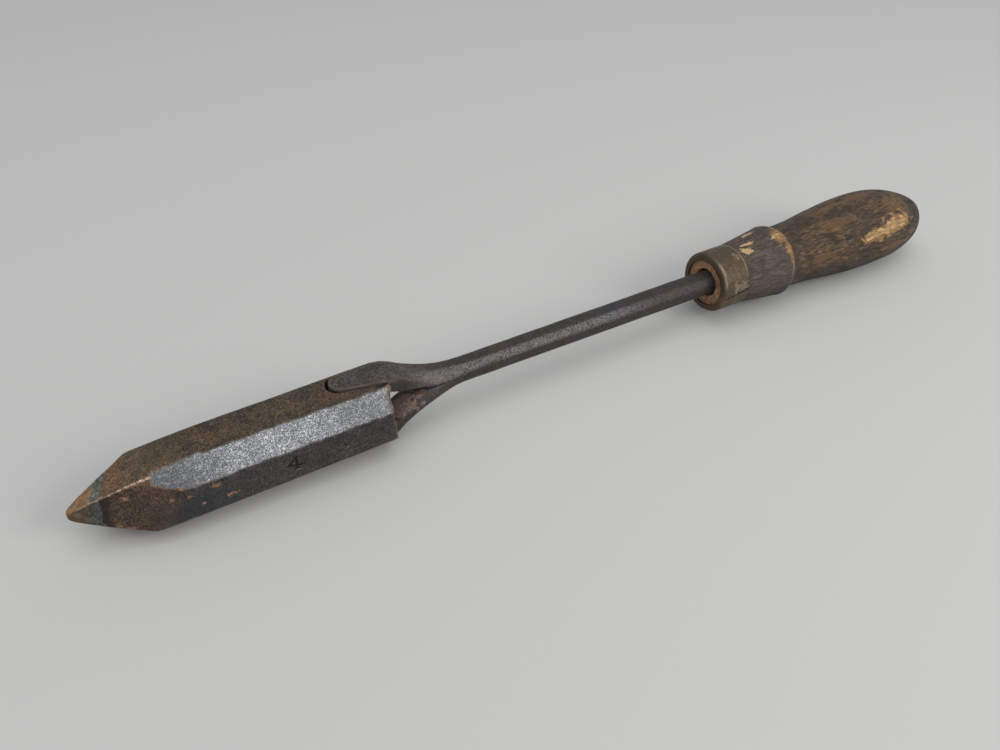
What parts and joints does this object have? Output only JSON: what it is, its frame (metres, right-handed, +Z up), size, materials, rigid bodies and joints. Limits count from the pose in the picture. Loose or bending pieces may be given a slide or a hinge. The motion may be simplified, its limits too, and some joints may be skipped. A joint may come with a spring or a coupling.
{
  "type": "soldering copper",
  "caption": "Hand soldering copper: bevelled copper bit with a four-sided point, held in a forked iron shank with a ferruled, turned wooden handle.",
  "frame": {"origin": "on the bench, midway along the tool and midway across it", "axes": "+X along the tool from the copper's point to the handle's end, +Z up from the bench, +Y to the left when looking along +X"},
  "size_m": [0.4876, 0.0432, 0.0434],
  "materials": {
    "copper": "oxidised, granular, worn bright on edges",
    "iron": "forged, dull, lightly rusted",
    "ferrule_metal": "dull bronze brown, worn at the rim",
    "stained_wood": "dark stained, satin, worn through in patches"
  },
  "bodies": {
    "root": {"copper_bit": "copper", "forked_shank": "iron", "ferrule": "ferrule_metal", "wooden_handle": "stained_wood"}
  },
  "joints": []
}
